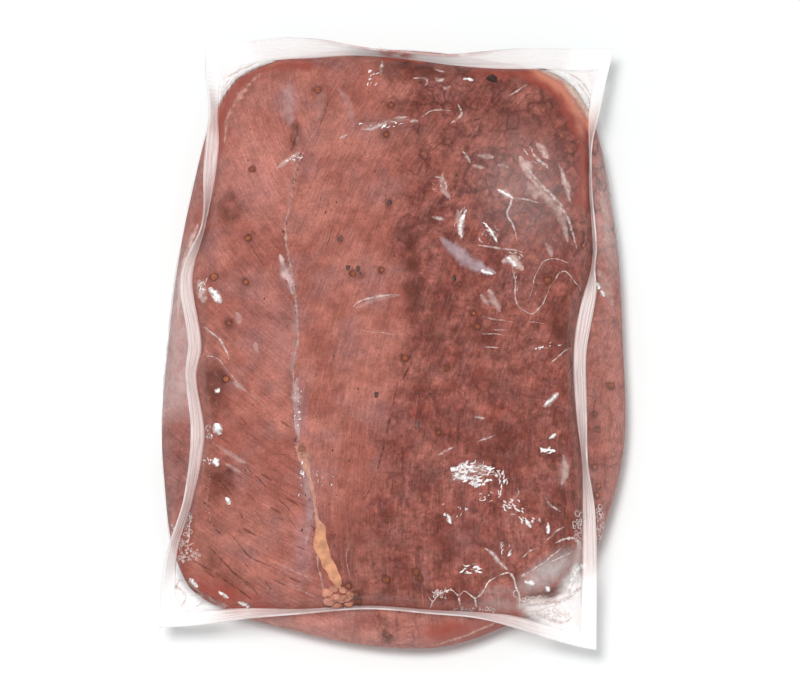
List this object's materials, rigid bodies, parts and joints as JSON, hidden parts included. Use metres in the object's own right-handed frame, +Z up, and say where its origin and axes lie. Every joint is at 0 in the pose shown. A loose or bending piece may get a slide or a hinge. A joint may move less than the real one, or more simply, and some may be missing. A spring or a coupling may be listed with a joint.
{
  "type": "raw sauerbraten",
  "caption": "Marinated raw beef roast in a clear sealed pouch, flat front up, with a seal band round it and the back film bulging out below.",
  "frame": {"origin": "middle of the footprint, on the surface that the pouch lies on", "axes": "+Z up out of the flat front, +Y along the pouch towards its top seal, +X to the right seen from above"},
  "size_m": [0.188, 0.2496, 0.0544],
  "materials": {
    "filled_pouch": null,
    "clear_film": "clear thin glossy plastic film, drawn tight, with fine creases",
    "seal_band": "two films welded together, milky, with fine ribs across the band",
    "beef": "wet grey-red marinated beef with visible grain",
    "fat": "moist yellow fat",
    "sinew": "pale glossy silverskin along the seam",
    "spice": "soaked brown mustard seed and black peppercorn",
    "marinade": "thin reddish marinade with foam bubbles at the lower corners"
  },
  "bodies": {
    "root": {"filled_pouch": "filled_pouch"}
  },
  "joints": []
}
